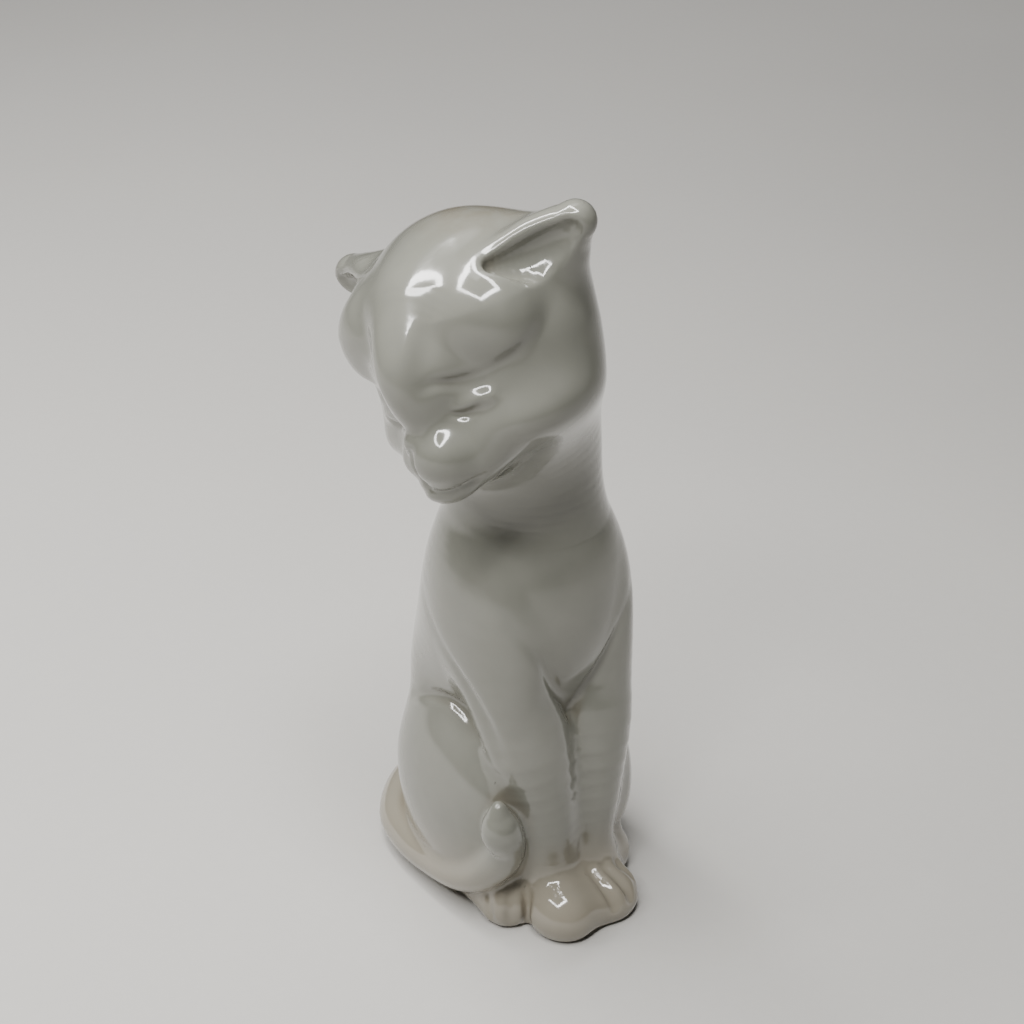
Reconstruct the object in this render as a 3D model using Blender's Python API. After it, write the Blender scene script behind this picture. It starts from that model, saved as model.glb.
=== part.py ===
"""Sitting ceramic cat, slip cast in pale clay and glazed all over.

Two hollow castings, the body and the head, carry smaller ones luted on before firing: two ears,
two forelegs with their paws, two hind paws, and a tail that lies round the cat's right side.
Nothing moves.

Frame: metres, +Z up.  The body faces -Y and the head is turned to the cat's right, which is -X.
The origin is on the flat foot, on the surface that the figure stands on.

Each casting is laid up from balls and strings of balls, run together and smoothed into one clay
form, then trimmed where it meets its neighbour with a narrow seam left between the two.
Dimensions are in millimetres and are multiplied by MM.
"""
import bmesh
import bpy
from math import radians
from mathutils import Matrix, Vector

MM = 0.001

# casting
WALL = 3.4             # thickness of the cast walls
SEAM = 0.4             # gap between two castings
DRAIN_RADIUS = 5.0     # hole in the floor that the slip was poured out of
DRAIN_Y = 10.0
FOOT_Y = 5.0           # centre of the flat under the body
FOOT_RADIUS = 20.0
THROAT_RADIUS = 8.0    # hole between the two hollows, in the neck's top and the head's underside
THROAT = (-6.0, -5.0)

# head: its own frame has the face along -Y and the crown along +Z
HEAD_CENTRE = (-10.9, -5.8, 139.6)
HEAD_TURN = -73.3      # about Z, towards the cat's right
HEAD_NOD = 1.2         # about X
HEAD_TILT = -23.7      # about Y, left ear up
SKULL = (25.5, 22.8, 25.8)
EAR_ROOT = (11.3, 4.6, 11.7)
EAR_TIP = (30.9, 3.1, 21.8)
EAR_ROOT_RADIUS = 15.0
EAR_TIP_RADIUS = 3.7

# stations along each limb: x, y, z and radius, for the cat's left side where there are two
SPINE = [(0, 6.1, 14, 21.1), (0, 6.1, 30, 18.5), (0, 8, 50, 19), (0, -0.6, 80, 19.6),
         (0, -2.7, 98, 16.2), (-0.7, -4.9, 116, 16.7), (-7, -6, 131, 15)]
BODY_HOLLOW = [(0, 6, 12, 16.5), (0, 6.5, 32, 15), (0, 6, 52, 15), (0, -2, 80, 15.8),
               (0, -3.5, 98, 12.4), (-1.5, -5, 112, 12)]
FORELEG = [(12, -4, 84, 7), (11.4, -9.5, 70, 8.8), (9.6, -16, 50, 10.2), (6.9, -19.7, 30, 8),
           (5.9, -20.1, 16, 6.9), (6.4, -21.6, 7, 7)]
HIND_PAW = {1: [(13, -8, 5, 6.5), (13.2, -18, 4.5, 7)], -1: [(15, -8, 5, 6.5), (15.2, -18, 4.5, 7)]}
TAIL = [(-3, 29.5, 6.5, 6), (-10, 28.5, 6.5, 5.9), (-18, 21.6, 6, 5.4), (-20.9, 12, 6, 5.2),
        (-21.6, 2, 7, 5), (-21.7, -8, 9.5, 4.9), (-20.8, -15, 13.5, 4.8), (-19.2, -20, 19.5, 4.7),
        (-18.8, -22.2, 24.5, 4.2), (-20.4, -22.3, 29.5, 4.8), (-20.8, -22, 33, 3.3),
        (-20.8, -21.8, 35.8, 2.0)]

# triangles kept in each form before it is trimmed
TRIS_BODY = 2200
TRIS_CAVITY = 1000
TRIS_HEAD = 2600
TRIS_EAR = 420
TRIS_FORELEG = 760
TRIS_PAW = 260
TRIS_TAIL = 700

GLAZE = (0.56, 0.55, 0.50, 1.0)
GLAZE_CREAM = (0.60, 0.57, 0.50, 1.0)


def glaze(name, colour):
    """A glossy ceramic material."""
    material = bpy.data.materials.new(name)
    material.use_nodes = True
    shader = material.node_tree.nodes["Principled BSDF"]
    shader.inputs["Base Color"].default_value = colour
    shader.inputs["Roughness"].default_value = 0.15
    shader.inputs["Metallic"].default_value = 0.0
    material.diffuse_color = colour
    return material


def head_place():
    """The matrix from the head's own frame to the figure's."""
    turn = Matrix.Rotation(radians(HEAD_TURN), 4, "Z")
    nod = Matrix.Rotation(radians(HEAD_NOD), 4, "X")
    tilt = Matrix.Rotation(radians(HEAD_TILT), 4, "Y")
    return Matrix.Translation(Vector(HEAD_CENTRE) * MM) @ turn @ nod @ tilt


class Clay:
    """A heap of balls, grown or shrunk together by `grow` mm and set down by `place`."""

    def __init__(self, grow=0.0, place=None):
        self.mesh = bmesh.new()
        self.grow = grow
        self.place = place or Matrix.Identity(4)

    def ball(self, centre, radii, tilt=(0, 0, 0), detail=4):
        """An ellipsoid, tilted about X, Y and Z in degrees."""
        size = [max(r + self.grow, 0.6) * MM for r in radii]
        turn = Matrix.Rotation(radians(tilt[2]), 4, "Z")
        turn = turn @ Matrix.Rotation(radians(tilt[1]), 4, "Y")
        turn = turn @ Matrix.Rotation(radians(tilt[0]), 4, "X")
        spot = Matrix.Translation(Vector(centre) * MM)
        matrix = self.place @ spot @ turn @ Matrix.Diagonal((*size, 1.0))
        bmesh.ops.create_icosphere(self.mesh, subdivisions=detail, radius=1.0, matrix=matrix)

    def limb(self, stations, side=1, steps=7):
        """Balls strung along a smooth curve through the stations."""
        rows = [Vector((side * x, y, z, r)) for x, y, z, r in stations]
        rows = [2 * rows[0] - rows[1]] + rows + [2 * rows[-1] - rows[-2]]
        for a, b, c, d in zip(rows, rows[1:], rows[2:], rows[3:]):
            for i in range(steps):
                t = i / steps
                row = 0.5 * (2 * b + (c - a) * t + (2 * a - 5 * b + 4 * c - d) * t ** 2
                             + (3 * b - a - 3 * c + d) * t ** 3)
                self.ball(row[:3], [row[3]] * 3, detail=3)
        self.ball(rows[-2][:3], [rows[-2][3]] * 3, detail=3)

    def add(self, ob):
        """Put an earlier form on the heap, and remove it."""
        self.mesh.from_mesh(ob.data)
        bpy.data.objects.remove(ob)

    def form(self, name, voxel, smooth, triangles=None):
        """The heap run together into one skin, smoothed, and thinned to a triangle count."""
        mesh = bpy.data.meshes.new(name)
        self.mesh.to_mesh(mesh)
        self.mesh.free()
        ob = bpy.data.objects.new(name, mesh)
        bpy.context.scene.collection.objects.link(ob)
        remesh = ob.modifiers.new("Run together", "REMESH")
        remesh.mode = "VOXEL"
        remesh.voxel_size = voxel * MM
        relax = ob.modifiers.new("Smooth", "SMOOTH")
        relax.factor = 0.5
        relax.iterations = smooth
        settle(ob)
        if triangles is None:
            return ob
        thin = ob.modifiers.new("Thin", "DECIMATE")
        thin.ratio = min(1.0, triangles / (2 * len(ob.data.polygons)))
        thin.use_collapse_triangulate = True
        settle(ob)
        return ob


def settle(ob):
    """Replace an object's mesh by what its modifiers make of it."""
    depsgraph = bpy.context.evaluated_depsgraph_get()
    mesh = bpy.data.meshes.new_from_object(ob.evaluated_get(depsgraph))
    ob.modifiers.clear()
    ob.data = mesh


def swollen(ob, by=SEAM):
    """A copy of a form pushed out along its normals, to trim a neighbour with."""
    copy = ob.copy()
    copy.data = ob.data.copy()
    copy.name = ob.name + "_swollen"
    bpy.context.scene.collection.objects.link(copy)
    push = copy.modifiers.new("Seam", "DISPLACE")
    push.strength = by * MM
    push.mid_level = 0.0
    settle(copy)
    return copy


def combine(ob, others, operation):
    """Join each of the others to a form (UNION), or take each away (DIFFERENCE)."""
    for other in others:
        step = ob.modifiers.new("Combine", "BOOLEAN")
        step.operation = operation
        step.solver = "EXACT"
        step.object = other
        settle(ob)


def trim(ob, *cutters):
    """Take each cutter away from a form, then drop any offcut but the largest."""
    combine(ob, cutters, "DIFFERENCE")
    keep_largest(ob)


def keep_largest(ob):
    """Drop the loose offcuts, and join points that lie on top of each other."""
    mesh = bmesh.new()
    mesh.from_mesh(ob.data)
    bmesh.ops.triangulate(mesh, faces=mesh.faces)
    bmesh.ops.remove_doubles(mesh, verts=mesh.verts, dist=0.000002)
    bmesh.ops.dissolve_degenerate(mesh, edges=mesh.edges, dist=0.000001)
    bmesh.ops.triangulate(mesh, faces=mesh.faces)
    left = set(mesh.verts)
    shells = []
    while left:
        shell = {left.pop()}
        front = list(shell)
        while front:
            vertex = front.pop()
            for edge in vertex.link_edges:
                other = edge.other_vert(vertex)
                if other in left:
                    left.discard(other)
                    shell.add(other)
                    front.append(other)
        shells.append(shell)
    shells.sort(key=len, reverse=True)
    loose = [vertex for shell in shells[1:] for vertex in shell]
    bmesh.ops.delete(mesh, geom=loose, context="VERTS")
    mesh.to_mesh(ob.data)
    mesh.free()


def block(name, low, high):
    """A box from one corner to the other, in mm."""
    mesh = bmesh.new()
    middle = Matrix.Translation((Vector(low) + Vector(high)) * 0.5 * MM)
    size = Matrix.Diagonal((*((Vector(high) - Vector(low)) * MM), 1.0))
    bmesh.ops.create_cube(mesh, size=1.0, matrix=middle @ size)
    data = bpy.data.meshes.new(name)
    mesh.to_mesh(data)
    mesh.free()
    ob = bpy.data.objects.new(name, data)
    bpy.context.scene.collection.objects.link(ob)
    return ob


def rod(name, centre, radius, low, high, sides=32):
    """An upright rod, in mm."""
    mesh = bmesh.new()
    spot = Matrix.Translation(Vector((centre[0], centre[1], 0.5 * (low + high))) * MM)
    bmesh.ops.create_cone(mesh, cap_ends=True, segments=sides, radius1=radius * MM,
                          radius2=radius * MM, depth=(high - low) * MM, matrix=spot)
    data = bpy.data.meshes.new(name)
    mesh.to_mesh(data)
    mesh.free()
    ob = bpy.data.objects.new(name, data)
    bpy.context.scene.collection.objects.link(ob)
    return ob


def body_clay():
    """Spine and neck, chest and shoulders run well together, then the haunches and the foot."""
    core = Clay()
    core.limb(SPINE, steps=9)
    core.ball((0, -8.3, 78.1), (20.6, 16.6, 25.9))
    core.ball((0, FOOT_Y, 6), (FOOT_RADIUS, FOOT_RADIUS + 3, 14))
    clay = Clay()
    clay.add(core.form("core", 1.0, 50))
    for side in (-1, 1):
        clay.ball((side * 15.1, 0, 25.6), (11.3, 20.2, 26), tilt=(-17.5, 0, 0))
    return clay


def head_clay(grow=0.0):
    """Skull, cheeks, brows and muzzle run well together, then pads, nose, chin and closed lids."""
    core = Clay(grow, head_place())
    core.ball((0, 0, 4.1), SKULL)
    core.limb([(0, -13, 12, 9.5), (0, -22.7, 4.1, 7.3), (0, -24.6, -4.6, 3.6)])
    core.ball((0, -18.1, -14.3), (12, 9, 8.5))
    for side in (-1, 1):
        core.ball((side * 12.4, -5.5, -9.8), (12.5, 15.5, 11.5))
        core.ball((side * 14.4, -12.2, 9.4), (10.0, 8.0, 10.4))
    clay = Clay(grow, head_place())
    clay.add(core.form("core", 0.9, 40))
    clay.ball((-2.0, -21.7, -18.9), (6.5, 5.6, 4.4))
    clay.ball((-2.9, -27.9, -8.6), (3.0, 2.6, 2.4))
    clay.ball((0.9, -22.9, -13.2), (7.6, 7.1, 7.2))
    clay.ball((-5.3, -22.3, -13.0), (4.8, 4.9, 5.0))
    for side in (-1, 1):
        clay.ball((side * 9.8, -20.2, -4.0), (5.4, 2.4, 1.8), tilt=(0, -side * 5, 0))
    return clay


def ear_clay(side):
    """The outside of one ear: a cone of balls from a wide root to a blunt tip."""
    clay = Clay(0.0, head_place())
    clay.limb([(*EAR_ROOT, EAR_ROOT_RADIUS), (*EAR_TIP, EAR_TIP_RADIUS)], side, steps=28)
    clay.limb([(15.0, -9.4, 18.6, 2.6), (21.8, -3.0, 21.6, 3.2), (30.4, 2.2, 21.8, 3.5)], side)
    return clay


def ear_hollow(side):
    """The scoop in the front of one ear."""
    clay = Clay(0.0, head_place())
    clay.limb([(19.0, -11.0, 18.6, 1.8), (24.4, -6.6, 17.8, 4.0), (28.4, -3.8, 18.6, 4.0),
               (31.6, -1.4, 20.2, 2.2)], side)
    return clay


def foreleg_clay(side):
    """One foreleg from the shoulder down, with its paw."""
    clay = Clay()
    clay.limb(FORELEG, side)
    clay.ball((side * 12.9, -10.3, 74.9), (8.2, 13.4, 21.7), tilt=(-14.7, 0, 0))
    if side < 0:
        clay.ball((-7.6, -28.5, 4.5), (8.3, 9.8, 7.9))
    else:
        clay.ball((4.0, -29.0, 3.6), (9.0, 9.2, 7.0))
    return clay


def make_castings():
    """Lay up every form, trim each to its neighbours, and return them by name."""
    parts = {}
    table = block("table", (-200, -200, -100), (200, 200, 0))

    head = head_clay().form("head_shell", 0.7, 4, TRIS_HEAD)
    head_swollen = swollen(head)

    body = body_clay().form("body_shell", 0.9, 5, TRIS_BODY)
    trim(body, table, head_swollen)
    body_swollen = swollen(body)

    for side, word in ((1, "left"), (-1, "right")):
        ear = ear_clay(side).form(word + "_ear", 0.6, 4, TRIS_EAR)
        trim(ear, ear_hollow(side).form("hollow", 0.6, 4, TRIS_EAR), head_swollen)
        parts[word + "_ear"] = ear

        leg = foreleg_clay(side).form(word + "_foreleg", 0.7, 6, TRIS_FORELEG)
        other = block("other_side", (-100 * side - 100, -100, -50), (-100 * side + 100, 100, 200))
        other.location.x = 0.5 * SEAM * side * MM
        trim(leg, table, other, body_swollen)
        parts[word + "_foreleg"] = leg

        clay = Clay()
        clay.limb(HIND_PAW[side], side)
        paw = clay.form(word + "_hind_paw", 0.7, 4, TRIS_PAW)
        trim(paw, table, body_swollen, swollen(leg))
        parts[word + "_hind_paw"] = paw

    clay = Clay()
    clay.limb(TAIL)
    tail = clay.form("tail", 0.6, 5, TRIS_TAIL)
    trim(tail, table, body_swollen, swollen(parts["right_foreleg"]),
         swollen(parts["right_hind_paw"]))
    parts["tail"] = tail

    hollow = Clay(-WALL, head_place())
    hollow.ball((0, 0, 4.1), SKULL)
    hollow = hollow.form("skull_hollow", 1.2, 4, TRIS_CAVITY)
    combine(hollow, [rod("throat", THROAT, THROAT_RADIUS, 100, 132)], "UNION")
    trim(head, hollow)
    parts["head_shell"] = head

    above = head_clay(WALL + SEAM).form("above", 1.2, 0, TRIS_CAVITY)
    hollow = Clay()
    hollow.limb(BODY_HOLLOW, steps=9)
    hollow = hollow.form("body_hollow", 1.2, 6, TRIS_CAVITY)
    trim(hollow, block("floor", (-60, -60, -60), (60, 60, WALL)), above)
    throat = rod("throat", THROAT, THROAT_RADIUS, 100, 140)
    drain = rod("drain", (0, DRAIN_Y), DRAIN_RADIUS, -5, 20)
    combine(hollow, [throat, drain], "UNION")
    trim(body, hollow)
    parts["body_shell"] = body
    return parts


def main():
    for ob in list(bpy.data.objects):
        bpy.data.objects.remove(ob, do_unlink=True)
    parts = make_castings()
    grey = glaze("glaze_grey_white", GLAZE)
    cream = glaze("glaze_cream", GLAZE_CREAM)
    for ob in list(bpy.data.objects):
        if ob not in parts.values():
            bpy.data.objects.remove(ob, do_unlink=True)
    for name, ob in parts.items():
        ob.name = name
        ob.data.name = name
        ob.data.materials.clear()
        ob.data.materials.append(cream if name == "tail" or "paw" in name else grey)
        ob.data.shade_smooth()


if __name__ == "__main__":
    main()
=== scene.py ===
import math
from concurrent.futures import ThreadPoolExecutor

import bpy
import numpy as np
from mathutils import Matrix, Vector


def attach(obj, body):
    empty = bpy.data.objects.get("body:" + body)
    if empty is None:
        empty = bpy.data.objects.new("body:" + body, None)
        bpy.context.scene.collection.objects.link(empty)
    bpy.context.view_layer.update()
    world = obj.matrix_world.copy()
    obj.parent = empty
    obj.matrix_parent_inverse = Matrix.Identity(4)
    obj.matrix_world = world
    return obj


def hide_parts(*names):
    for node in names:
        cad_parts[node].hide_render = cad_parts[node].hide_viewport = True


bl_info = {
    "name": "Glazed Cat",
    "version": (1, 0, 0),
    "blender": (4, 5, 0),
    "location": "View3D > Sidebar > Glazed Cat",
    "description": "Sitting ceramic cat under a glossy grey-white glaze",
    "category": "Add Mesh",
}

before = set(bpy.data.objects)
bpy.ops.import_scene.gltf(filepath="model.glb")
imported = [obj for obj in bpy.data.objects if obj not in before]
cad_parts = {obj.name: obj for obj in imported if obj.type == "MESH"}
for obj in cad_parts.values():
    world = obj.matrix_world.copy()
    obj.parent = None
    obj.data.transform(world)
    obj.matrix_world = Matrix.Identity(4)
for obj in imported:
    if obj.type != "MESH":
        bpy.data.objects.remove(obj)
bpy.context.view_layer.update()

MM = 0.001
F32 = np.float32

# the castings, in the order in which their labels are numbered
CASTINGS = ("body_shell", "head_shell", "left_ear", "right_ear", "left_foreleg",
            "right_foreleg", "left_hind_paw", "right_hind_paw", "tail")

# box that the surface is worked out in, millimetres
GRID_LOW, GRID_HIGH = (-43, -41, -2), (30, 39, 180)

# drain under the body, millimetres
DRAIN_Y, DRAIN_RADIUS, DRAIN_DEPTH = 10.0, 5.0, 14.0

# stain on the crown, metres
CROWN = (-0.008, 0.002, 0.170)
PIT_COLOUR = (0.05, 0.04, 0.03, 1)
PIT_CELLS_PER_METRE = 120.0

# camera, in millimetres and degrees
LOOK_AT = (0.0, 0.0, 95.0)
AZIMUTH, ELEVATION, DISTANCE = -38.0, 30.0, 420.0
LENS = 66.8

# centres of the square ring of lamps and of the lamp behind the cat, metres
FRAME_LAMP, FRAME_HALF = (-0.27, 0.04, 0.62), 0.23
BACKDROP_LAMP = (0.50, 0.66, 0.95)


# ---------------------------------------------------------------------------
# clay: shapes as distances in millimetres, negative inside, on whole arrays
# ---------------------------------------------------------------------------

def turn(axis, degrees):
    """The 3 x 3 matrix that turns about one axis."""
    c, s = math.cos(math.radians(degrees)), math.sin(math.radians(degrees))
    rows = {"x": ((1, 0, 0), (0, c, -s), (0, s, c)),
            "y": ((c, 0, s), (0, 1, 0), (-s, 0, c)),
            "z": ((c, -s, 0), (s, c, 0), (0, 0, 1))}
    return np.array(rows[axis], F32)


def melt(a, b, width):
    """Union of two shapes, rounded over: the smaller distance, less a parabola `width` wide."""
    h = np.maximum(width - np.abs(a - b), 0) / width
    return np.minimum(a, b) - h * h * width * 0.25


def carve(a, b, width):
    """Shape a without shape b, the lip rounded over `width`."""
    return -melt(-a, b, width)


def egg(p, centre, radii, matrix=None):
    """Ellipsoid: |q/r| (|q/r| - 1) over |q/r^2|, with q the point from the centre."""
    q = p - np.array(centre, F32)
    if matrix is not None:
        q = q @ matrix
    r = np.array(radii, F32)
    k0 = np.sqrt(((q / r) ** 2).sum(-1))
    k1 = np.sqrt(((q / (r * r)) ** 2).sum(-1)) + 1e-9
    return k0 * (k0 - 1) / k1


def smooth_path(rows, steps):
    """Points along a Catmull-Rom curve through the rows, all columns alike."""
    rows = np.array(rows, float)
    rows = np.vstack([2 * rows[0] - rows[1], rows, 2 * rows[-1] - rows[-2]])
    t = np.linspace(0, 1, steps, endpoint=False)[:, None]
    spans = [0.5 * (2 * b + (c - a) * t + (2 * a - 5 * b + 4 * c - d) * t ** 2
                    + (3 * b - a - 3 * c + d) * t ** 3)
             for a, b, c, d in zip(rows, rows[1:], rows[2:], rows[3:])]
    return np.vstack(spans + [rows[-2][None]]).astype(F32)


def roll(p, rows, steps=5):
    """Rolled clay: distance to a smooth path, less a radius that runs from row to row."""
    rows = smooth_path(rows, steps) if steps else np.array(rows, F32)
    least = None
    for a, b in zip(rows, rows[1:]):
        span = b[:3] - a[:3]
        t = np.clip(((p - a[:3]) @ span) / (span @ span), 0, 1)
        off = p - a[:3] - t[..., None] * span
        d = np.sqrt((off * off).sum(-1)) - (a[3] + (b[3] - a[3]) * t)
        least = d if least is None else np.minimum(least, d)
    return least


def groove(d, p, rows, width=1.2, steps=4):
    """A line pressed into the clay: the distance grows by depth * exp(-(r / width)^2).

    r is the distance to a smooth path, and the depth is the last figure of each of its rows.
    """
    rows = smooth_path(rows, steps)
    reach = width * 2.5
    near = ((p > rows[:, :3].min(0) - reach) & (p < rows[:, :3].max(0) + reach)).all(-1)
    if near.any():
        q = p[near]
        press = np.zeros(len(q), q.dtype)
        for a, b in zip(rows, rows[1:]):
            span = b[:3] - a[:3]
            t = np.clip(((q - a[:3]) @ span) / (span @ span), 0, 1)
            off = q - a[:3] - t[..., None] * span
            depth = a[3] + (b[3] - a[3]) * t
            press = np.maximum(press, depth * np.exp(-(off * off).sum(-1) / width ** 2))
        d = d.copy()
        d[near] += press
    return d


# ---------------------------------------------------------------------------
# the cat: +Z up, the body faces -Y, left is +X
# ---------------------------------------------------------------------------

HEAD_CENTRE = np.array((-10.9, -5.8, 139.6), F32)
HEAD_TURN = turn("z", -73.3) @ turn("x", 1.2) @ turn("y", -23.7)


def mirror(q, side):
    """Points seen from one side, so that the left is modelled and the right is its mirror."""
    return q * np.array((side, 1, 1), F32)


def head_only(q):
    """Skull, cheeks, forehead ridge, brows, closed eyes, muzzle, nose, mouth and chin."""
    d = egg(q, (0, 0, 4.1), (25.5, 22.8, 25.8))
    sides = [mirror(q, side) for side in (-1, 1)]
    for m in sides:
        d = melt(d, egg(m, (12.4, -5.5, -10.8), (11.1, 14.2, 6.6)), 8)
    d = melt(d, roll(q, [(0, -13, 12, 9.5), (0, -22.7, 4.1, 7.3), (0, -24.6, -4.6, 3.3)], 24), 9)
    d = melt(d, egg(q, (0, -18.1, -14.3), (11.5, 8, 8)), 6)
    for m in sides:
        brow = egg(m, (14.4, -12.0, 9.4), (9.8, 8.0, 10.2), turn("y", 12))
        d = melt(d, brow, 1.5 + 5.5 * np.clip((m[..., 2] - 3) / 10, 0, 1))
        d = groove(d, m, [(11.5, -18.5, 17.9, 0.2), (8.4, -21.3, 13.1, 0.6),
                          (6.6, -24.4, 8.2, 0.9), (5.3, -26.4, 4.1, 0.9),
                          (4.4, -27.6, 0.5, 0.4)], 3.2)
        d = groove(d, m, [(5.0, -26.6, 1.8, 0.2), (6.8, -24.4, 2.0, 0.7),
                          (9.2, -22.0, 0.9, 0.9), (12.2, -20.2, 0.2, 0.9),
                          (16.5, -18.0, 0.3, 0.8), (21.0, -14.8, 2.6, 0.5),
                          (23.4, -11.4, 5.0, 0.1)], 1.5)
        lid = egg(m, (9.8, -19.4, -4.2), (5.2, 2.2, 1.6), turn("z", 14) @ turn("y", -3))
        d = melt(d, lid, 2.0)
        d = groove(d, m, [(5.8, -23.4, -4.6, 0.1), (8.4, -22.0, -5.8, 0.5),
                          (11.2, -21.0, -5.5, 0.5), (14.0, -20.2, -4.2, 0.1)], 0.9)
    f = q @ turn("z", -8)
    d = melt(d, egg(f, (4.0, -22.4, -13.0), (7.4, 7.0, 7.0)), 1.6)
    d = melt(d, egg(f, (-1.8, -22.8, -13.0), (4.6, 4.6, 4.9)), 1.2)
    d = melt(d, egg(f, (1.4, -26.9, -8.5), (2.4, 1.6, 1.8)), 1.5)
    d = melt(d, egg(f, (1.0, -21.6, -19.4), (6.5, 5.5, 4.3)), 2)
    d = groove(d, f, [(1.4, -28.4, -10.2, 0.5), (0.8, -28.0, -13.0, 0.9), (0.8, -27.0, -16.5, 0.9),
                      (0.8, -26.2, -18.6, 0.5)], 0.9)
    for m in (f, mirror(f, -1)):
        d = groove(d, m, [(0, -27.0, -18.4, 0.6), (2.8, -26.6, -19.6, 0.9),
                          (5.6, -25.0, -20.0, 0.8), (9.0, -22.0, -19.2, 0.5),
                          (12.5, -18.0, -17.2, 0.1)], 0.9)
    return d


def ear(q, side):
    """A cone leaning outward with a round tip, and the thick rim that runs from it to the brow."""
    m = mirror(q, side)
    d = roll(m, [(11.3, 4.6, 11.7, 15.0), (30.9, 3.1, 21.2, 3.4)], 0)
    return melt(d, roll(m, [(15.0, -9.4, 18.6, 2.4), (21.8, -3.0, 21.6, 3.0),
                            (30.4, 2.2, 21.3, 3.2)]), 4.0)


def ear_hollow(q, side):
    """The scoop under the ear's front rim."""
    return roll(mirror(q, side), [(19.0, -11.0, 18.6, 1.8), (24.4, -6.6, 17.8, 4.0),
                                  (28.4, -3.8, 18.6, 4.0), (31.6, -1.4, 20.2, 2.2)])


def torso(p):
    """Spine and neck with the chest and shoulders melted in."""
    spine = [(0, 6.1, 14, 21.1), (0, 6.1, 30, 18.5), (0, 8.0, 50, 19), (0, -0.6, 80, 19.6),
             (0, -2.7, 98, 16.2), (-0.7, -4.9, 116, 16.7), (-7, -6, 131, 15)]
    return melt(roll(p, spine, 9), egg(p, (0, -8.3, 78.1), (20.3, 16.4, 25.9)), 14)


def foreleg(p, side):
    """Upper arm, foreleg and paw."""
    m = mirror(p, side)
    d = roll(m, [(12, -4, 84, 7), (11.4, -9.5, 70, 8.8), (9.6, -16.0, 50, 10.2),
                 (6.9, -19.7, 30, 8.0), (5.9, -20.1, 16, 6.9), (6.4, -21.6, 7, 7.0)])
    d = melt(d, egg(m, (12.9, -10.3, 74.9), (7.8, 13.2, 21.5), turn("x", -14.7)), 6)
    if side < 0:
        return melt(d, egg(m, (7.6, -28.2, 4.5), (8.1, 9.3, 7.8)), 3)
    return melt(d, egg(m, (4.0, -29.0, 3.4), (8.8, 8.8, 6.8)), 3)


def haunch(p, side):
    """The thigh, a flat egg leaning back."""
    return egg(mirror(p, side), (15.1, -1.0, 25.6), (11.3, 21.2, 25.8), turn("x", -17.5))


def hind_paw(p, side):
    """A short roll along the ground."""
    inset = max(side, 0) * 2.0
    return roll(mirror(p, side), [(15 - inset, -8, 5, 6.5), (15.2 - inset, -18, 4.5, 7.0)], 0)


def tail(p):
    """A roll round the right side, its tip turned up against the foreleg."""
    return roll(p, [(-3, 29.5, 6.5, 6), (-10, 28.5, 6.5, 5.8), (-18, 21.6, 6, 5.3),
                    (-20.9, 12, 6, 5.1), (-21.6, 2, 7.0, 4.9), (-21.7, -8, 9.5, 4.8),
                    (-20.8, -15, 13.5, 4.7), (-19.2, -20.0, 19.5, 4.6), (-18.8, -22.2, 24.5, 4.1),
                    (-20.4, -22.3, 29.5, 4.7), (-20.8, -22.0, 33, 3.2),
                    (-20.8, -21.8, 35.8, 1.9)])


# creases on each side, left side given: x, y, z and depth of each point, then the width
CREASES = (
    # front of the upper arm, from the shoulder to between the legs
    ([(16.0, -20.4, 81, 0.2), (12.6, -22.8, 76, 0.6), (9.4, -23.0, 69.5, 0.8),
      (5.6, -22.0, 62, 0.8), (0.6, -20.8, 53, 0.5)], 1.8),
    # back of the upper arm, down the flank
    ([(18.4, 7.2, 80.5, 0.1), (20.4, 1, 77, 0.4), (21.0, -5.0, 71.5, 0.6),
      (20.8, -10.6, 65.2, 0.7), (19.8, -16.4, 57, 0.8), (18.2, -20.0, 48, 0.4)], 1.9),
    # top of the haunch
    ([(19.3, 12, 47.6, 0.4), (18.9, 4.5, 51.5, 1.1), (17.8, -0.5, 52.6, 1.2),
      (17.6, -6.5, 51.4, 1.1), (18.2, -13, 48.0, 0.8)], 1.5),
)
BETWEEN_LEGS = [(0.6, -21.5, 53, 0.2), (1.2, -23.4, 38, 0.3), (1.0, -24.6, 21, 0.4),
                (0.4, -26.0, 13.5, 0.2)]

# lines drawn between the toes
TOES = [[(-20.4, -16.5, 10.0, 0.2), (-21.9, -19.0, 6.5, 0.9), (-22.3, -20.3, 1.0, 0.9)],
        [(-17.4, -20.8, 10.8, 0.2), (-18.9, -23.4, 7.0, 0.9), (-19.3, -24.6, 1.0, 0.9)],
        [(-13.8, -23.0, 10.8, 0.3), (-14.9, -25.0, 7.0, 1.2), (-15.4, -25.6, 1.0, 1.2)],
        [(18.4, -16.5, 10.0, 0.2), (19.9, -19.0, 6.5, 0.9), (20.3, -20.3, 1.0, 0.9)],
        [(1.2, -27.5, 10.4, 0.2), (1.0, -32.8, 9.2, 1.1), (1.4, -37.0, 5.6, 1.1)],
        [(4.6, -27.5, 10.6, 0.2), (5.4, -32.8, 9.1, 1.1), (6.2, -36.8, 5.6, 1.1)],
        [(8.0, -26.5, 9.8, 0.2), (9.6, -30.6, 8.2, 1.1), (11.2, -33.8, 5.0, 1.1)]]


def castings(p):
    """The distance to each casting alone, in the order of CASTINGS."""
    q = (p - HEAD_CENTRE) @ HEAD_TURN
    body = torso(p)
    for side in (-1, 1):
        body = melt(body, haunch(p, side), 5.0)
    return [body, head_only(q), ear(q, 1), ear(q, -1), foreleg(p, 1), foreleg(p, -1),
            hind_paw(p, 1), hind_paw(p, -1), tail(p)]


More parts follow.
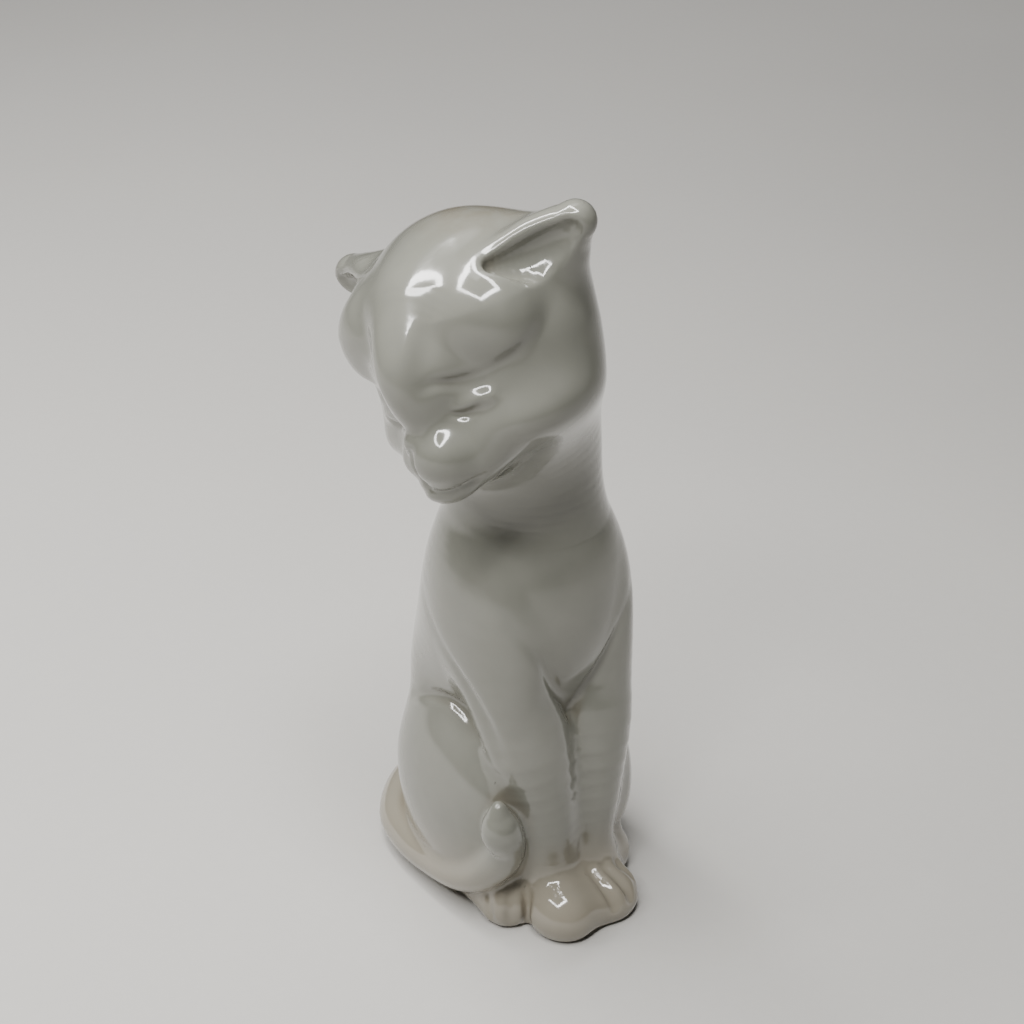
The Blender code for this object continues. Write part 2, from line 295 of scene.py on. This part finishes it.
def fired(p):
    """The whole figure under its glaze: the castings melted together, flat underneath."""
    body, head, ear_l, ear_r, leg_l, leg_r, hind_l, hind_r, tail_d = castings(p)
    d = melt(body, melt(leg_l, leg_r, 5.0), 3.5)
    for part, width in ((hind_l, 3.0), (hind_r, 3.0)):
        d = melt(d, part, width)
    for side in (-1, 1):
        m = mirror(p, side)
        for line, width in CREASES:
            d = groove(d, m, line, width)
    d = groove(d, p, BETWEEN_LEGS, 1.3)
    for line in TOES:
        d = groove(d, p, line, 1.1)
    d = melt(d, tail_d, 1.8)
    skull = melt(melt(head, ear_l, 3.5), ear_r, 3.5)
    q = (p - HEAD_CENTRE) @ HEAD_TURN
    for side in (-1, 1):
        skull = carve(skull, ear_hollow(q, side), 2.0)
    d = melt(d, skull, 13.0)
    d = carve(d, p[..., 2], 1.2)
    drain = np.hypot(p[..., 0], p[..., 1] - DRAIN_Y) - DRAIN_RADIUS
    return carve(d, np.maximum(drain, p[..., 2] - DRAIN_DEPTH), 0.6)


# ---------------------------------------------------------------------------
# skin: the zero level of the clay as quads, labelled by casting
# ---------------------------------------------------------------------------

def sample(function, points):
    """A function of many points, worked out on several cores in runs small enough to be quick."""
    runs = np.array_split(points, len(points) // 30000 + 1)
    with ThreadPoolExecutor(4) as workers:
        return np.concatenate(list(workers.map(function, runs)))


def nearest(points):
    """The number, from 1, of the casting that each point lies deepest in."""
    return np.stack(castings(points), 0).argmin(0) + 1


def shifted(grid, offset):
    """One corner of every cell of a grid: the grid one shorter each way, from the offset on."""
    return grid[tuple(slice(o, size - 1 + o) for o, size in zip(offset, grid.shape))]


def near_surface(low, shape, cell):
    """Distances on a grid, worked out only near the surface, and elsewhere just the sign.

    A grid four cells wide is worked out first.  A fine point is worked out where a coarse corner
    round it lies within reach of the surface, and takes the coarse sign everywhere else.
    """
    step = 4
    coarse = [np.arange(0, n + step, step) for n in shape]
    points = np.stack(np.meshgrid(*coarse, indexing="ij"), -1).astype(F32) * cell + low
    rough = sample(fired, points.reshape(-1, 3)).reshape(points.shape[:3])
    near = np.abs(rough) < step * cell * 1.8
    blocks = np.zeros(np.array(near.shape) - 1, bool)
    for i in (0, 1):
        for j in (0, 1):
            for k in (0, 1):
                blocks |= shifted(near, (i, j, k))
    blocks |= (rough[:-1, :-1, :-1] < 0) != (rough[1:, 1:, 1:] < 0)
    fine = np.repeat(np.repeat(np.repeat(blocks, step, 0), step, 1), step, 2)
    fine = fine[:shape[0], :shape[1], :shape[2]]
    value = np.repeat(np.repeat(np.repeat(rough[:-1, :-1, :-1], step, 0), step, 1), step, 2)
    value = value[:shape[0], :shape[1], :shape[2]].copy()
    index = np.argwhere(fine)
    value[tuple(index.T)] = sample(fired, index.astype(F32) * cell + low)
    return value


def slope(points, reach=0.35):
    """The distance, and the unit direction in which it grows, from four points round each one."""
    corners = np.array(((1, -1, -1), (-1, -1, 1), (-1, 1, -1), (1, 1, 1)), F32)
    points = points.astype(F32)
    ends = np.stack([sample(fired, points + c * reach) for c in corners], 1)
    grad = ends @ corners / (4 * reach)
    length = np.linalg.norm(grad, axis=1, keepdims=True) + 1e-9
    return sample(fired, points) / np.maximum(length[:, 0], 0.3), grad / length


def net_points(label, value):
    """One point for each cell whose corners differ, at the mean of the crossings on its edges.

    Gives the points in cells, the number of each cell's point, and which points are outside.
    """
    corners = [(i, j, k) for i in (0, 1) for j in (0, 1) for k in (0, 1)]
    seen = [shifted(label, corner) for corner in corners]
    mixed = np.zeros(seen[0].shape, bool)
    outer = np.zeros(seen[0].shape, bool)
    for other in seen:
        mixed |= other != seen[0]
        outer |= other == 0
    cells = np.argwhere(mixed)
    number = np.full(mixed.shape, -1, np.int64)
    number[mixed] = np.arange(len(cells))
    outer = outer[mixed]

    total = np.zeros((len(cells), 3))
    count = np.zeros(len(cells))
    for axis in range(3):
        for a in (0, 1):
            for b in (0, 1):
                start = np.zeros(3, int)
                start[(axis + 1) % 3], start[(axis + 2) % 3] = a, b
                end = start.copy()
                end[axis] = 1
                p0, p1 = (cells + start).T, (cells + end).T
                l0, l1 = label[tuple(p0)], label[tuple(p1)]
                v0, v1 = value[tuple(p0)], value[tuple(p1)]
                edge = (l0 == 0) != (l1 == 0)
                use = edge | (~outer & (l0 != l1))
                t = np.where(edge, v0 / np.where(v0 == v1, 1, v0 - v1), 0.5)
                spot = np.tile(start.astype(float), (use.sum(), 1))
                spot[:, axis] += np.clip(t[use], 0, 1)
                total[use] += spot
                count[use] += 1
    count[count == 0] = 1
    return cells + total / count[:, None], number, outer


def net_quads(label, number):
    """A quad for each grid edge whose ends differ, and the pair of labels on its two sides."""
    quads, sides = [], []
    for axis in range(3):
        u, v = (axis + 1) % 3, (axis + 2) % 3
        ends = []
        for step in (0, 1):
            part = [slice(1, size - 1) for size in label.shape]
            part[axis] = slice(step, label.shape[axis] - 1 + step)
            ends.append(label[tuple(part)])
        at = np.argwhere(ends[0] != ends[1])
        sides.append(np.stack([end[tuple(at.T)] for end in ends], 1))
        at += np.array([0 if i == axis else 1 for i in range(3)])
        ring = []
        for du, dv in ((1, 1), (0, 1), (0, 0), (1, 0)):
            beside = at.copy()
            beside[:, u] -= du
            beside[:, v] -= dv
            ring.append(number[tuple(beside.T)])
        quads.append(np.stack(ring, 1))
    return np.vstack(quads), np.vstack(sides)


def skin(cell):
    """Surface nets over labelled clay.

    Every grid point gets the number of the casting it lies in, or 0 outside.  A cell whose
    corners differ gets one vertex, and every grid edge whose ends differ gets a quad between the
    four cells round it.  The vertices on the outside are then slid down the slope to the zero
    level, so neighbouring castings share them exactly.
    """
    low = np.array(GRID_LOW, F32)
    shape = np.ceil((np.array(GRID_HIGH) - low) / cell).astype(int) + 1
    value = near_surface(low, shape, cell)
    label = np.zeros(shape, np.uint8)
    inside = np.argwhere(value < 0)
    label[tuple(inside.T)] = sample(nearest, inside.astype(F32) * cell + low)
    places, number, outer = net_points(label, value)
    quads, sides = net_quads(label, number)

    points = low + cell * places
    index = np.flatnonzero(outer)
    for _ in range(3):
        d, grad = slope(points[index])
        points[index] -= np.clip(d, -cell * 0.5, cell * 0.5)[:, None] * grad
    normals = np.zeros_like(points)
    normals[index] = slope(points[index])[1]
    points[:, 2] = np.maximum(points[:, 2], 0.0)
    return {"points": points, "normals": normals, "quads": quads, "sides": sides}


SKIN = {}


def fired_skin():
    """The skin, worked out once and shared by the pieces.

    Its enclosure figure is how shut in each point is: how far short of 2.5, 5 and 8 mm the clay's
    distance falls when walked straight out from the surface.  It tints the glaze tan in hollows and
    creases, partly as glaze that pooled there and partly as painted shade.
    """
    if not SKIN:
        cell = bpy.context.scene.cat_sizes.cell / MM
        SKIN.update(skin(cell))
        d = SKIN["points"]
        pool_and_shade = np.zeros(len(d))
        for reach in (2.5, 5.0, 8.0):
            at = (d + SKIN["normals"] * reach).astype(F32)
            pool_and_shade += np.clip(1 - sample(fired, at) / reach, 0, 1) / 3
        SKIN["pool_and_shade"] = pool_and_shade
    return SKIN


def casting(name, material):
    """One casting cut out of the shared skin, closed by the walls it shares with its neighbours."""
    data = fired_skin()
    code = CASTINGS.index(name) + 1
    front = data["sides"][:, 0] == code
    back = data["sides"][:, 1] == code
    quads = np.vstack([data["quads"][front], data["quads"][back][:, ::-1]])
    glazed = np.concatenate([data["sides"][front][:, 1] == 0, data["sides"][back][:, 0] == 0])
    used, quads = np.unique(quads, return_inverse=True)
    quads = quads.reshape(-1, 4)
    points = data["points"][used]
    mesh = bpy.data.meshes.new(name + "_glazed")
    mesh.vertices.add(len(used))
    mesh.vertices.foreach_set("co", (points * MM).astype(F32).ravel())
    mesh.loops.add(quads.size)
    mesh.loops.foreach_set("vertex_index", quads.astype(np.int32).ravel())
    mesh.polygons.add(len(quads))
    mesh.polygons.foreach_set("loop_start", np.arange(0, quads.size, 4, dtype=np.int32))
    mesh.update(calc_edges=True)
    mesh.shade_smooth()
    # how shut in each point is, which tints hollows and creases tan: pooled glaze and painted shade
    attribute = mesh.attributes.new("pool_and_shade", "FLOAT", "POINT")
    attribute.data.foreach_set("value", data["pool_and_shade"][used].astype(F32))
    corner = data["normals"][used][quads]
    corners = points[quads]
    flat = np.cross(corners[:, 2] - corners[:, 0], corners[:, 3] - corners[:, 1])
    flat /= np.linalg.norm(flat, axis=1, keepdims=True) + 1e-12
    corner = np.where(glazed[:, None, None], corner, flat[:, None, :])
    mesh.normals_split_custom_set(corner.reshape(-1, 3).astype(F32))
    mesh.materials.append(material)
    piece = bpy.data.objects.new(name + "_glazed", mesh)
    bpy.context.scene.collection.objects.link(piece)
    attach(piece, "root")
    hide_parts(name)
    return piece


# ---------------------------------------------------------------------------
# glaze
# ---------------------------------------------------------------------------

def new_group(name, inputs, outputs):
    """An empty shader node group with named sockets, and its two end nodes."""
    group = bpy.data.node_groups.new(name, "ShaderNodeTree")
    for label, kind, value in inputs:
        socket = group.interface.new_socket(label, in_out="INPUT", socket_type=kind)
        socket.default_value = value
    for label, kind in outputs:
        group.interface.new_socket(label, in_out="OUTPUT", socket_type=kind)
    return group, group.nodes.new("NodeGroupInput"), group.nodes.new("NodeGroupOutput")


def math_node(tree, operation, a, b=None, c=None, clamp=False):
    """A Math node; a, b and c are sockets or numbers."""
    node = tree.nodes.new("ShaderNodeMath")
    node.operation = operation
    node.use_clamp = clamp
    for socket, value in zip(node.inputs, (a, b, c)):
        if isinstance(value, bpy.types.NodeSocket):
            tree.links.new(value, socket)
        elif value is not None:
            socket.default_value = value
    return node.outputs[0]


def mix_colour(tree, factor, a, b, blend="MIX"):
    """A colour Mix node; each of factor, a and b is a socket or a value."""
    node = tree.nodes.new("ShaderNodeMix")
    node.data_type = "RGBA"
    node.blend_type = blend
    for socket, value in ((node.inputs["Factor"], factor), (node.inputs[6], a),
                          (node.inputs[7], b)):
        if isinstance(value, bpy.types.NodeSocket):
            tree.links.new(value, socket)
        else:
            socket.default_value = value
    return node.outputs[2]


def ramp(tree, value, low, high, smooth=True):
    """0 below low, 1 above high, eased between them."""
    node = tree.nodes.new("ShaderNodeMapRange")
    node.interpolation_type = "SMOOTHSTEP" if smooth else "LINEAR"
    node.inputs["From Min"].default_value = low
    node.inputs["From Max"].default_value = high
    tree.links.new(value, node.inputs["Value"])
    return node.outputs["Result"]


def noise(tree, vector, scale, detail=2.0, roughness=0.5):
    """Noise at a scale per metre."""
    node = tree.nodes.new("ShaderNodeTexNoise")
    node.inputs["Scale"].default_value = scale
    node.inputs["Detail"].default_value = detail
    node.inputs["Roughness"].default_value = roughness
    tree.links.new(vector, node.inputs["Vector"])
    return node.outputs["Fac"]


def mottle_group():
    """Slow drifts of tone in the glaze, where it ran thick or thin over the clay."""
    group, start, end = new_group(
        "Glaze mottle",
        (("Vector", "NodeSocketVector", (0, 0, 0)), ("Colour", "NodeSocketColor", (1, 1, 1, 1)),
         ("Thin colour", "NodeSocketColor", (1, 1, 1, 1)), ("Amount", "NodeSocketFloat", 0.3)),
        (("Colour", "NodeSocketColor"), ("Height", "NodeSocketFloat")))
    broad = noise(group, start.outputs["Vector"], 38.0, 3.0, 0.55)
    fine = noise(group, start.outputs["Vector"], 210.0, 3.0, 0.6)
    drift = ramp(group, broad, 0.38, 0.68)
    share = math_node(group, "MULTIPLY", drift, start.outputs["Amount"])
    grain = math_node(group, "MULTIPLY_ADD", fine, 0.10, 0.95)
    tone = mix_colour(group, share, start.outputs["Colour"], start.outputs["Thin colour"])
    tone = mix_colour(group, 1.0, tone, grey_from(group, grain), "MULTIPLY")
    group.links.new(tone, end.inputs["Colour"])
    group.links.new(math_node(group, "MULTIPLY_ADD", fine, 0.12, broad), end.inputs["Height"])
    return group


def grey_from(tree, value):
    """A grey of the given strength."""
    node = tree.nodes.new("ShaderNodeCombineColor")
    for socket in node.inputs[:3]:
        tree.links.new(value, socket)
    return node.outputs[0]


def pinhole_group():
    """Pinholes burst in the glaze: small dark pits, one in a few of the cells of a cell pattern."""
    group, start, end = new_group(
        "Pinholes",
        (("Vector", "NodeSocketVector", (0, 0, 0)), ("Size", "NodeSocketFloat", 0.0003),
         ("Share", "NodeSocketFloat", 0.1)),
        (("Pit", "NodeSocketFloat"),))
    cells = group.nodes.new("ShaderNodeTexVoronoi")
    cells.inputs["Scale"].default_value = PIT_CELLS_PER_METRE
    group.links.new(start.outputs["Vector"], cells.inputs["Vector"])
    reach = math_node(group, "DIVIDE", cells.outputs["Distance"], PIT_CELLS_PER_METRE)
    pit = math_node(group, "SUBTRACT", 1.0, math_node(group, "DIVIDE", reach,
                                                      start.outputs["Size"]), clamp=True)
    split = group.nodes.new("ShaderNodeSeparateColor")
    group.links.new(cells.outputs["Color"], split.inputs[0])
    chosen = math_node(group, "LESS_THAN", split.outputs[0], start.outputs["Share"])
    group.links.new(math_node(group, "MULTIPLY", pit, chosen), end.inputs["Pit"])
    return group


def glaze_material(look):
    """Glossy grey-white glaze: mottled, creamy low down, tan on the crown; tan pooled glaze and
    painted shade in hollows.
    """
    material = bpy.data.materials.new("Grey-white glaze")
    material.use_nodes = True
    tree = material.node_tree
    shader = tree.nodes["Principled BSDF"]
    place = tree.nodes.new("ShaderNodeTexCoord").outputs["Object"]

    mottle = tree.nodes.new("ShaderNodeGroup")
    mottle.node_tree = mottle_group()
    mottle.inputs["Colour"].default_value = (*look.grey, 1)
    mottle.inputs["Thin colour"].default_value = (*look.pale, 1)
    mottle.inputs["Amount"].default_value = 0.55
    tree.links.new(place, mottle.inputs["Vector"])
    colour = mottle.outputs["Colour"]

    split = tree.nodes.new("ShaderNodeSeparateXYZ")
    tree.links.new(place, split.inputs[0])
    patch = noise(tree, place, 60.0, 3.0)
    height = math_node(tree, "MULTIPLY_ADD", patch, 0.012, split.outputs["Z"])
    low_down = math_node(tree, "SUBTRACT", 1.0, ramp(tree, height, 0.012, 0.034))
    colour = mix_colour(tree, math_node(tree, "MULTIPLY", low_down, 0.8), colour,
                        (*look.cream, 1))

    crown = tree.nodes.new("ShaderNodeVectorMath")
    crown.operation = "DISTANCE"
    tree.links.new(place, crown.inputs[0])
    crown.inputs[1].default_value = CROWN
    reach = math_node(tree, "MULTIPLY_ADD", patch, 0.014, crown.outputs["Value"])
    stain = math_node(tree, "SUBTRACT", 1.0, ramp(tree, reach, 0.008, 0.026))
    streak = noise(tree, place, 160.0, 4.0, 0.65)
    stain = math_node(tree, "MULTIPLY", stain, ramp(tree, streak, 0.2, 0.75))
    colour = mix_colour(tree, math_node(tree, "MULTIPLY", stain, 0.7), colour, (*look.tan, 1))

    # tan in hollows and creases, from how shut in the skin is there: partly glaze that pooled,
    # partly painted shade
    pool_and_shade = tree.nodes.new("ShaderNodeAttribute")
    pool_and_shade.attribute_name = "pool_and_shade"
    deep_pool_and_shade = ramp(tree, pool_and_shade.outputs["Fac"], 0.24, 1.0)
    deep_pool_and_shade = math_node(tree, "MULTIPLY", deep_pool_and_shade, math_node(tree, "MULTIPLY_ADD", streak, 0.9, 0.3))
    colour = mix_colour(tree, math_node(tree, "MULTIPLY", deep_pool_and_shade, 0.5), colour, (*look.tan, 1))

    pits = tree.nodes.new("ShaderNodeGroup")
    pits.node_tree = pinhole_group()
    pits.inputs["Size"].default_value = 0.00035
    pits.inputs["Share"].default_value = 0.05
    tree.links.new(place, pits.inputs["Vector"])
    colour = mix_colour(tree, math_node(tree, "MULTIPLY", pits.outputs["Pit"], 0.9), colour,
                        PIT_COLOUR)
    tree.links.new(colour, shader.inputs["Base Color"])

    rough = math_node(tree, "MULTIPLY_ADD", streak, 0.10, 0.07)
    tree.links.new(rough, shader.inputs["Roughness"])
    shader.inputs["IOR"].default_value = 1.52
    shader.inputs["Coat Weight"].default_value = 0.6
    shader.inputs["Coat Roughness"].default_value = 0.02

    relief = math_node(tree, "MULTIPLY_ADD", pits.outputs["Pit"], -0.8,
                       mottle.outputs["Height"])
    bump = tree.nodes.new("ShaderNodeBump")
    bump.inputs["Strength"].default_value = 0.25
    bump.inputs["Distance"].default_value = 0.0006
    tree.links.new(relief, bump.inputs["Height"])
    tree.links.new(bump.outputs["Normal"], shader.inputs["Normal"])
    tree.links.new(bump.outputs["Normal"], shader.inputs["Coat Normal"])
    return material


def shared_glaze():
    """The one glaze that every casting wears."""
    found = bpy.data.materials.get("Grey-white glaze")
    return found or glaze_material(bpy.context.scene.cat_glaze)


# ---------------------------------------------------------------------------
# stage
# ---------------------------------------------------------------------------

def direction(azimuth, elevation):
    """The unit vector towards a viewer at an azimuth and elevation; azimuth 0 is in front."""
    a, e = math.radians(azimuth), math.radians(elevation)
    return Vector((math.sin(a) * math.cos(e), -math.cos(a) * math.cos(e), math.sin(e)))


def aim(ob, target):
    """Turn a camera or a lamp to look at a point."""
    ob.rotation_mode = "QUATERNION"
    ob.rotation_quaternion = (Vector(target) - ob.location).to_track_quat("-Z", "Y")


def lamp(name, place, target, size, power, colour):
    """A rectangular area lamp; sizes in metres, power in watts."""
    light = bpy.data.lights.new(name, "AREA")
    light.shape = "RECTANGLE"
    light.size, light.size_y = size
    light.energy = power
    light.color = colour
    ob = bpy.data.objects.new(name, light)
    bpy.context.scene.collection.objects.link(ob)
    ob.location = place
    aim(ob, target)
    return ob


def floor_material(look):
    """Pale matt board, faintly fibrous."""
    material = bpy.data.materials.new("Pale board")
    material.use_nodes = True
    tree = material.node_tree
    shader = tree.nodes["Principled BSDF"]
    place = tree.nodes.new("ShaderNodeTexCoord").outputs["Object"]
    fibre = noise(tree, place, 260.0, 5.0, 0.6)
    cloud = noise(tree, place, 7.0, 2.0)
    tone = math_node(tree, "MULTIPLY_ADD", fibre, 0.05, 0.95)
    tone = math_node(tree, "MULTIPLY_ADD", cloud, 0.06, tone)
    colour = mix_colour(tree, 1.0, (*look.floor, 1), grey_from(tree, tone), "MULTIPLY")
    tree.links.new(colour, shader.inputs["Base Color"])
    shader.inputs["Roughness"].default_value = 0.85
    bump = tree.nodes.new("ShaderNodeBump")
    bump.inputs["Strength"].default_value = 0.2
    bump.inputs["Distance"].default_value = 0.0004
    tree.links.new(fibre, bump.inputs["Height"])
    tree.links.new(bump.outputs["Normal"], shader.inputs["Normal"])
    return material


def make_stage(look):
    """Floor, world, lamps and camera."""
    scene = bpy.context.scene
    mesh = bpy.data.meshes.new("Floor")
    mesh.from_pydata([(-3, -3, 0), (3, -3, 0), (3, 3, 0), (-3, 3, 0)], [], [(0, 1, 2, 3)])
    mesh.materials.append(floor_material(look))
    floor = bpy.data.objects.new("Floor", mesh)
    scene.collection.objects.link(floor)

    world = bpy.data.worlds.new("Room")
    scene.world = world
    world.use_nodes = True
    sky = world.node_tree.nodes["Background"]
    sky.inputs["Color"].default_value = (0.80, 0.82, 0.82, 1)
    sky.inputs["Strength"].default_value = look.room

    x, y, z = FRAME_LAMP
    long, short, strip = 0.525, 0.395, 0.065
    for name, dx, dy, size in (("left", -FRAME_HALF, 0, (strip, long)),
                               ("right", FRAME_HALF, 0, (strip, long)),
                               ("front", 0, -FRAME_HALF, (short, strip)),
                               ("back", 0, FRAME_HALF, (short, strip))):
        side = lamp("Frame " + name, (x + dx, y + dy, z), (x + dx, y + dy, 0), size,
                    look.window / 4, (1.0, 0.99, 0.97))
        side.rotation_quaternion = (1, 0, 0, 0)

    x, y, z = BACKDROP_LAMP
    back = lamp("Backdrop", (x, y, z), (x, y, 0), (1.6, 1.0), look.backdrop, (1.0, 0.99, 0.98))
    back.data.spread = math.radians(80)

    data = bpy.data.cameras.new("Camera")
    camera = bpy.data.objects.new("Camera", data)
    scene.collection.objects.link(camera)
    camera.location = (Vector(LOOK_AT) + direction(AZIMUTH, ELEVATION) * DISTANCE) * MM
    aim(camera, Vector(LOOK_AT) * MM)
    data.sensor_width = 36.0
    data.lens = LENS
    data.clip_start = 0.01
    data.clip_end = 50.0
    scene.camera = camera


# ---------------------------------------------------------------------------
# settings, operators and panel
# ---------------------------------------------------------------------------

class CatSizes(bpy.types.PropertyGroup):
    """Fineness of the castings' surface."""
    cell: bpy.props.FloatProperty(
        name="Cell", description="Side of the grid cells that the surface is worked out on",
        default=0.0007, min=0.0003, max=0.003, subtype="DISTANCE", unit="LENGTH", precision=5)


class CatGlaze(bpy.types.PropertyGroup):
    """Colours of the glaze."""
    grey: bpy.props.FloatVectorProperty(
        name="Grey", description="Main colour of the glaze", subtype="COLOR", size=3,
        default=(0.182, 0.184, 0.158), min=0, max=1)
    pale: bpy.props.FloatVectorProperty(
        name="Pale", description="Colour where the glaze is thin", subtype="COLOR", size=3,
        default=(0.225, 0.224, 0.196), min=0, max=1)
    cream: bpy.props.FloatVectorProperty(
        name="Cream", description="Colour low down, on the tail and the paws", subtype="COLOR",
        size=3, default=(0.285, 0.255, 0.20), min=0, max=1)
    # tan is the real stain on the crown, and in hollows and creases both pooled glaze and painted
    # shade
    tan: bpy.props.FloatVectorProperty(
        name="Tan", description="Colour where the glaze pools, and of the stain on the crown",
        subtype="COLOR", size=3, default=(0.13, 0.10, 0.06), min=0, max=1)


class CatStage(bpy.types.PropertyGroup):
    """Floor and light."""
    floor: bpy.props.FloatVectorProperty(
        name="Floor", description="Colour of the board", subtype="COLOR", size=3,
        default=(0.475, 0.465, 0.445), min=0, max=1)
    window: bpy.props.FloatProperty(
        name="Window", description="Power of the main lamp", default=12.9, min=0, unit="POWER")
    backdrop: bpy.props.FloatProperty(
        name="Backdrop", description="Power of the lamp over the far end of the board",
        default=3.6, min=0, unit="POWER")
    room: bpy.props.FloatProperty(
        name="Room", description="Strength of the light from all round", default=0.05, min=0)


class CAT_OT_body(bpy.types.Operator):
    """Make the body casting, with neck, chest and haunches"""
    bl_idname = "cat.body"
    bl_label = "Body"

    def execute(self, context):
        casting("body_shell", shared_glaze())
        return {"FINISHED"}


class CAT_OT_head(bpy.types.Operator):
    """Make the head casting, with its closed eyes, nose and mouth"""
    bl_idname = "cat.head"
    bl_label = "Head"

    def execute(self, context):
        casting("head_shell", shared_glaze())
        return {"FINISHED"}


class CAT_OT_ears(bpy.types.Operator):
    """Make both ears"""
    bl_idname = "cat.ears"
    bl_label = "Ears"

    def execute(self, context):
        for name in ("left_ear", "right_ear"):
            casting(name, shared_glaze())
        return {"FINISHED"}


class CAT_OT_forelegs(bpy.types.Operator):
    """Make both forelegs with their paws"""
    bl_idname = "cat.forelegs"
    bl_label = "Forelegs"

    def execute(self, context):
        for name in ("left_foreleg", "right_foreleg"):
            casting(name, shared_glaze())
        return {"FINISHED"}


class CAT_OT_hind_paws(bpy.types.Operator):
    """Make both hind paws"""
    bl_idname = "cat.hind_paws"
    bl_label = "Hind paws"

    def execute(self, context):
        for name in ("left_hind_paw", "right_hind_paw"):
            casting(name, shared_glaze())
        return {"FINISHED"}


class CAT_OT_tail(bpy.types.Operator):
    """Make the tail"""
    bl_idname = "cat.tail"
    bl_label = "Tail"

    def execute(self, context):
        casting("tail", shared_glaze())
        return {"FINISHED"}


class CAT_OT_stage(bpy.types.Operator):
    """Set up the floor, the lamps and the camera"""
    bl_idname = "cat.stage"
    bl_label = "Stage"

    def execute(self, context):
        make_stage(context.scene.cat_stage)
        return {"FINISHED"}


class CAT_PT_panel(bpy.types.Panel):
    """Lists the operators and their settings"""
    bl_idname = "CAT_PT_panel"
    bl_label = "Glazed Cat"
    bl_space_type = "VIEW_3D"
    bl_region_type = "UI"
    bl_category = "Glazed Cat"

    def draw(self, context):
        scene = context.scene
        column = self.layout.column()
        for group in (scene.cat_sizes, scene.cat_glaze, scene.cat_stage):
            for name in group.__annotations__:
                column.prop(group, name)
        for operator in OPERATORS:
            column.operator(operator.bl_idname)


GROUPS = (CatSizes, CatGlaze, CatStage)
OPERATORS = (CAT_OT_stage, CAT_OT_body, CAT_OT_head, CAT_OT_ears, CAT_OT_forelegs,
             CAT_OT_hind_paws, CAT_OT_tail)


def register():
    for item in GROUPS + OPERATORS + (CAT_PT_panel,):
        bpy.utils.register_class(item)
    bpy.types.Scene.cat_sizes = bpy.props.PointerProperty(type=CatSizes)
    bpy.types.Scene.cat_glaze = bpy.props.PointerProperty(type=CatGlaze)
    bpy.types.Scene.cat_stage = bpy.props.PointerProperty(type=CatStage)


def unregister():
    for name in ("cat_sizes", "cat_glaze", "cat_stage"):
        delattr(bpy.types.Scene, name)
    for item in reversed(GROUPS + OPERATORS + (CAT_PT_panel,)):
        bpy.utils.unregister_class(item)


def main():
    register()
    bpy.ops.cat.stage()
    bpy.ops.cat.body()
    bpy.ops.cat.head()
    bpy.ops.cat.ears()
    bpy.ops.cat.forelegs()
    bpy.ops.cat.hind_paws()
    bpy.ops.cat.tail()


if __name__ == "__main__":
    main()
